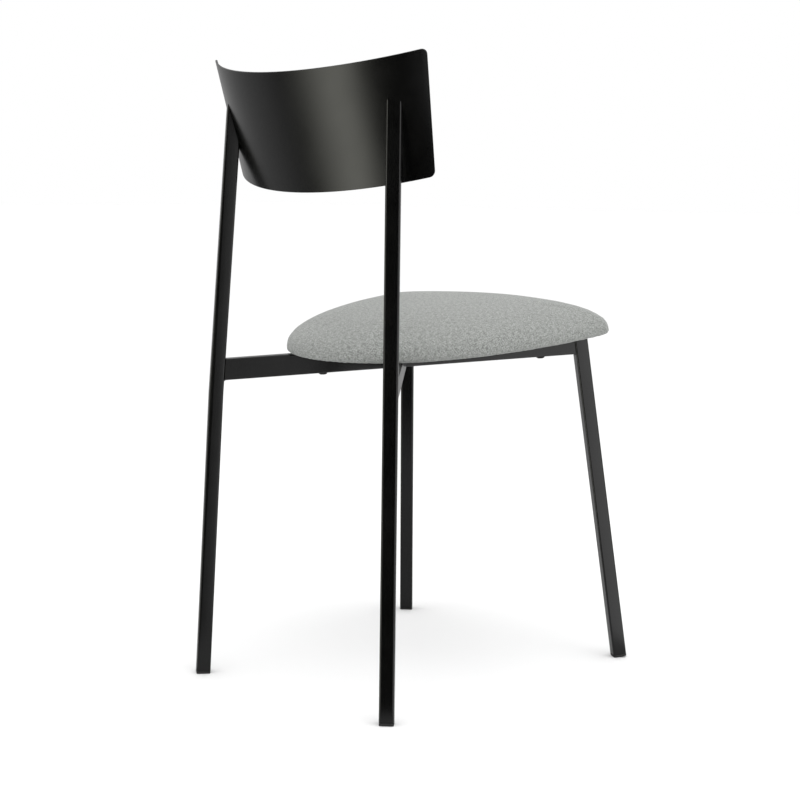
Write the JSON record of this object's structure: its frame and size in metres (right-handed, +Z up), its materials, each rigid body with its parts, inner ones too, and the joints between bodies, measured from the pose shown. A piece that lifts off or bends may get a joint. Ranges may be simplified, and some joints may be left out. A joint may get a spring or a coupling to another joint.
{
  "type": "dining chair",
  "caption": "Dining chair with square steel legs on crossed diagonal rails, a rolled sheet steel backrest and a round-cornered upholstered seat pad.",
  "frame": {"origin": "on the floor, under the centre of the chair's bounding box", "axes": "+Z up; the chair faces -Y; +X is the chair's own left side"},
  "size_m": [0.4046, 0.4874, 0.7844],
  "materials": {
    "powder_coat": "satin black powder coat with a very fine orange-peel texture",
    "seat_fabric": "light grey melange flat weave upholstery, matt",
    "foam": "open-cell polyurethane seat foam, hidden under the cover",
    "plywood": "birch plywood, uncoated",
    "dust_felt": "black spun-bonded dust cover",
    "end_plastic": "moulded black plastic, matt",
    "black_steel": "black oxide, low sheen",
    "zinc_steel": "bright zinc plating"
  },
  "bodies": {
    "root": {"backrest_sheet": "powder_coat", "cross_rail_half_front": "powder_coat", "cross_rail_half_rear": "powder_coat", "cross_rail_long": "powder_coat", "dust_cover": "dust_felt", "glide_front_left": "end_plastic", "glide_front_right": "end_plastic", "glide_rear_left": "end_plastic", "glide_rear_right": "end_plastic", "leg_cap_front_left": "end_plastic", "leg_cap_front_right": "end_plastic", "leg_front_left": "powder_coat", "leg_front_right": "powder_coat", "leg_rear_left": "powder_coat", "leg_rear_right": "powder_coat", "seat_board": "plywood", "seat_bolt_front_left": "black_steel", "seat_bolt_front_right": "black_steel", "seat_bolt_rear_left": "black_steel", "seat_bolt_rear_right": "black_steel", "seat_cover": "seat_fabric", "seat_foam": "foam", "tee_nut_front_left": "zinc_steel", "tee_nut_front_right": "zinc_steel", "tee_nut_rear_left": "zinc_steel", "tee_nut_rear_right": "zinc_steel"}
  },
  "joints": []
}
